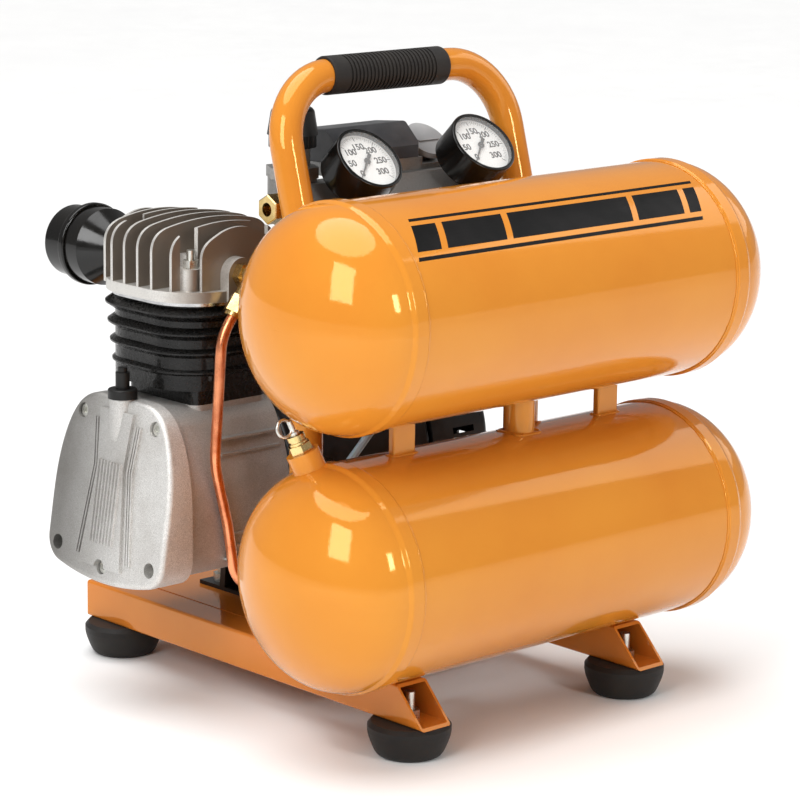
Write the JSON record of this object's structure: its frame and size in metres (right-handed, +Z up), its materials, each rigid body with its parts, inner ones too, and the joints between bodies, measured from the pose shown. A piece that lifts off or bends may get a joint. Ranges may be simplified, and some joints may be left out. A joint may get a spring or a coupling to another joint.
{
  "type": "twin stack air compressor",
  "caption": "Portable electric air compressor with two stacked horizontal air tanks, an oil-lubricated piston pump and motor on a footed frame, gauges and a carry handle.",
  "frame": {"origin": "on the floor at the middle of the footprint box", "axes": "+X along the tanks towards the motor's fan end, +Y from the tanks towards the pump, +Z up"},
  "size_m": [0.444, 0.4176, 0.4772],
  "materials": {
    "tank_paint": "glossy yellow-orange enamel",
    "frame_paint": "glossy orange enamel",
    "grip_rubber": "satin moulded rubber",
    "foot_rubber": "matte rubber",
    "zinc_steel": "zinc plated",
    "cast_aluminium": "shot-blasted casting",
    "black_iron": "glossy black enamel over rough casting",
    "black_plastic": "glossy moulded",
    "matte_black": "fine texture",
    "machined_steel": "machined",
    "filter_foam": "open-cell foam",
    "motor_paint": "black enamel",
    "laminations": "stacked laminations",
    "brass": "machined",
    "copper": "drawn copper tube",
    "zinc_casting": "die cast",
    "dial_white": "printed dial",
    "lens_glass": "clear",
    "needle_black": "black",
    "clear_tube": "translucent nylon"
  },
  "bodies": {
    "frame": {"upper_tank_shell": "tank_paint", "lower_tank_shell": "tank_paint", "tank_heads": "tank_paint", "tank_bungs": "tank_paint", "tie_straps": "tank_paint", "tank_link_tube": "tank_paint", "left_rail": "frame_paint", "right_rail": "frame_paint", "base_plate": "frame_paint", "rubber_feet": "foot_rubber", "frame_bolts": "zinc_steel", "handle_tube": "tank_paint", "handle_grip": "grip_rubber", "crankcase": "cast_aluminium", "crankcase_cover": "cast_aluminium", "cover_screws": "zinc_steel", "cylinder": "black_iron", "valve_plate": "machined_steel", "cylinder_head": "cast_aluminium", "head_bolts": "zinc_steel", "filter_housing": "black_plastic", "filter_element": "filter_foam", "shaft_bearings": "machined_steel", "motor_shell": "motor_paint", "stator": "laminations", "fan_shroud": "motor_paint", "capacitor_cover": "motor_paint", "motor_feet": "motor_paint", "discharge_elbow": "brass", "discharge_tube": "copper", "tube_nuts": "brass", "check_valve": "brass", "manifold_nipple": "zinc_steel", "pressure_manifold": "zinc_casting", "regulator_body": "zinc_casting", "pressure_switch": "zinc_casting", "switch_cover": "matte_black", "gauge_cases": "matte_black", "gauge_dials": "dial_white", "gauge_lenses": "lens_glass", "air_outlet": "brass", "relief_valve": "brass", "drain_valve": "brass", "unloader_tube": "clear_tube"},
    "crank": {"crankshaft": "machined_steel", "rotor": "laminations", "cooling_fan": "matte_black"},
    "rod": {"connecting_rod": "cast_aluminium", "wrist_pin": "machined_steel"},
    "piston": {"piston": "cast_aluminium", "piston_rings": "machined_steel"},
    "oil_plug": {"oil_plug": "matte_black"},
    "filter_cap": {"filter_cap": "black_plastic"},
    "regulator_knob": {"regulator_knob": "matte_black"},
    "switch_knob": {"switch_knob": "matte_black"},
    "outlet_needle": {"outlet_gauge_needle": "needle_black"},
    "tank_needle": {"tank_gauge_needle": "needle_black"},
    "relief_ring": {"relief_pull_ring": "zinc_steel"},
    "drain_knob": {"drain_knob": "brass"}
  },
  "joints": [
    {"name": "crank_spin", "type": "hinge", "parent": "frame", "child": "crank", "pos_m": [0, 0.0798, 0.165], "axis": [1, 0, 0], "continuous": true},
    {"name": "rod_swing", "type": "hinge", "parent": "crank", "child": "rod", "pos_m": [-0.118, 0.0798, 0.154], "axis": [1, 0, 0], "continuous": true},
    {"name": "piston_slide", "type": "slide", "parent": "frame", "child": "piston", "axis": [0, 0, 1], "range_m": [0, 0.022]},
    {"name": "oil_plug_lift", "type": "slide", "parent": "frame", "child": "oil_plug", "axis": [0, 0, 1], "range_m": [0, 0.02]},
    {"name": "filter_cap_turn", "type": "hinge", "parent": "frame", "child": "filter_cap", "pos_m": [-0.136, 0.1928, 0.324], "axis": [0, 1, 0], "range_deg": [-90, 0]},
    {"name": "regulator_turn", "type": "hinge", "parent": "frame", "child": "regulator_knob", "pos_m": [-0.079, 0.0188, 0.42], "axis": [0, 0, 1], "range_deg": [-720, 720]},
    {"name": "switch_turn", "type": "hinge", "parent": "frame", "child": "switch_knob", "pos_m": [0.0548, 0.0188, 0.4059], "axis": [0, -0.6018, 0.7986], "range_deg": [0, 90]},
    {"name": "outlet_needle_turn", "type": "hinge", "parent": "frame", "child": "outlet_needle", "pos_m": [-0.053, -0.03323, 0.40403], "axis": [0, -0.7071, 0.7071], "range_deg": [-270, 0], "stiffness_Nm_per_rad": 0.0005},
    {"name": "tank_needle_turn", "type": "hinge", "parent": "frame", "child": "tank_needle", "pos_m": [0.061, -0.03323, 0.40603], "axis": [0, -0.7071, 0.7071], "range_deg": [-270, 0], "stiffness_Nm_per_rad": 0.0005},
    {"name": "relief_pull", "type": "slide", "parent": "frame", "child": "relief_ring", "axis": [-0.3092, 0.2494, 0.9177], "range_m": [0, 0.002], "stiffness_N_per_m": 1000},
    {"name": "drain_turn", "type": "hinge", "parent": "frame", "child": "drain_knob", "pos_m": [0, -0.0698, 0.051], "axis": [0, 0.5736, -0.8192], "range_deg": [0, 360]}
  ],
  "couplings": [
    {"joint": "rod_swing", "follows": "crank_spin", "ratio": -1}
  ]
}
